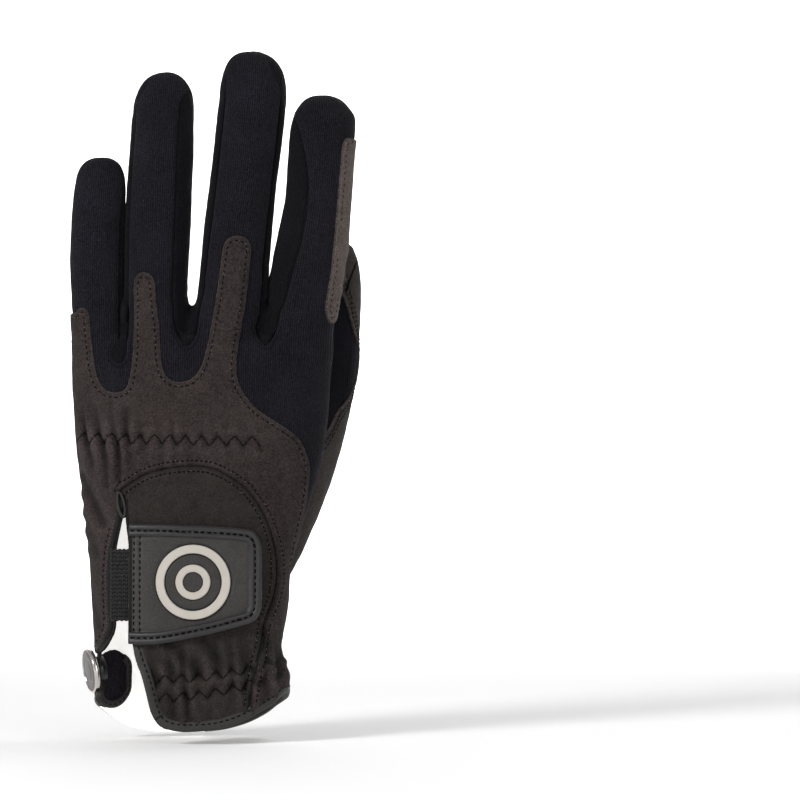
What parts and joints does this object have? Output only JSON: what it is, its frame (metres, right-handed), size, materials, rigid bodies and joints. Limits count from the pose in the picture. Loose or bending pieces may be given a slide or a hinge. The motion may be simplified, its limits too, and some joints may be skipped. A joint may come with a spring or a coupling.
{
  "type": "golf glove",
  "caption": "Left-hand golf glove in leather and stretch knit with a hook-and-loop wrist tab and a press-on ball marker; the fingers, thumb tip, tab and marker move.",
  "frame": {"origin": "centre of the wrist opening, level with the lowest point of the cuff", "axes": "+Z towards the fingertips, -Y is the back of the hand, +Y the palm, +X the thumb side"},
  "size_m": [0.0958, 0.07, 0.226],
  "materials": {
    "palm_leather": "soft satin sheepskin grain",
    "cuff_leather": "satin",
    "tab_leather": "smooth satin",
    "suede": "brushed suede",
    "strip_suede": "brushed suede",
    "knit": "ribbed stretch knit",
    "binding": "bias binding tape",
    "elastic": "woven elastic",
    "loop_pile": "brushed loop pile",
    "hook": "moulded hooks",
    "badge": "satin light metal-look print",
    "snap_metal": "blackened",
    "marker_metal": "polished rim, dark face"
  },
  "bodies": {
    "hand": {"palm_panel": "palm_leather", "palm_finger_panel": "palm_leather", "back_panel": "knit", "fourchette_little_ring": "knit", "fourchette_ring_middle": "knit", "fourchette_middle_index": "knit", "arched_wrist_panel": "cuff_leather", "ulnar_flap": "suede", "slit_binding_ulnar": "binding", "slit_binding_tab_side": "binding", "cuff_hem_binding": "binding", "marker_tongue": "cuff_leather", "marker_tongue_binding": "binding", "thumb_panel": "palm_leather", "thumb_gusset": "knit", "thumb_bend_sleeve": "palm_leather", "knuckle_elastic": "elastic", "wrist_elastic_back": "elastic", "wrist_elastic_palm": "elastic", "suede_overlay": "suede", "index_side_strip": "strip_suede", "loop_patch": "loop_pile", "closure_webbing": "elastic", "cuff_label": "cuff_leather", "cuff_label_badge": "badge", "snap_socket": "snap_metal", "little_bend_sleeve": "knit", "ring_bend_sleeve": "knit", "middle_bend_sleeve": "knit", "index_bend_sleeve": "knit"},
    "closure_tab": {"closure_tab_face": "tab_leather", "closure_tab_binding": "binding", "closure_tab_hook_patch": "hook", "tab_emblem_ring": "badge"},
    "marker": {"ball_marker": "marker_metal", "ball_marker_stud": "snap_metal"},
    "thumb_tip": {"thumb_end": "palm_leather"},
    "little_tip": {"little_end_palm": "palm_leather", "little_end_back": "knit", "little_end_fourchettes": "knit"},
    "ring_tip": {"ring_end_palm": "palm_leather", "ring_end_back": "knit", "ring_end_fourchettes": "knit"},
    "middle_tip": {"middle_end_palm": "palm_leather", "middle_end_back": "knit", "middle_end_fourchettes": "knit"},
    "index_tip": {"index_end_palm": "palm_leather", "index_end_back": "knit", "index_end_fourchettes": "knit", "index_end_side_strip": "strip_suede", "index_end_fingertip_patch": "palm_leather"}
  },
  "joints": [
    {"name": "little_bend", "type": "hinge", "parent": "hand", "child": "little_tip", "pos_m": [-0.0331, 0, 0.157], "axis": [-0.9998, 0, 0.02], "range_deg": [0, 85], "deforming": ["little_bend_sleeve"]},
    {"name": "ring_bend", "type": "hinge", "parent": "hand", "child": "ring_tip", "pos_m": [-0.01288, 0, 0.166], "axis": [-0.9993, 0, 0.038], "range_deg": [0, 85], "deforming": ["ring_bend_sleeve"]},
    {"name": "middle_bend", "type": "hinge", "parent": "hand", "child": "middle_tip", "pos_m": [0.0147, 0, 0.177], "axis": [-0.9942, 0, 0.1074], "range_deg": [0, 85], "deforming": ["middle_bend_sleeve"]},
    {"name": "index_bend", "type": "hinge", "parent": "hand", "child": "index_tip", "pos_m": [0.0383, 0, 0.168], "axis": [-0.995, 0, 0.0995], "range_deg": [0, 70], "deforming": ["index_bend_sleeve"]},
    {"name": "thumb_bend", "type": "hinge", "parent": "hand", "child": "thumb_tip", "pos_m": [0.0406, 0.0362, 0.1345], "axis": [0.0269, -0.9808, 0.1932], "range_deg": [0, 60], "deforming": ["thumb_bend_sleeve"]},
    {"name": "tab_hinge", "type": "hinge", "parent": "hand", "child": "closure_tab", "pos_m": [-0.0212, -0.0172, 0.051], "axis": [0, 0, -1], "range_deg": [0, 120]},
    {"name": "marker_pull", "type": "slide", "parent": "hand", "child": "marker", "axis": [-0.9303, -0.3301, -0.16], "range_m": [0, 0.012]}
  ]
}
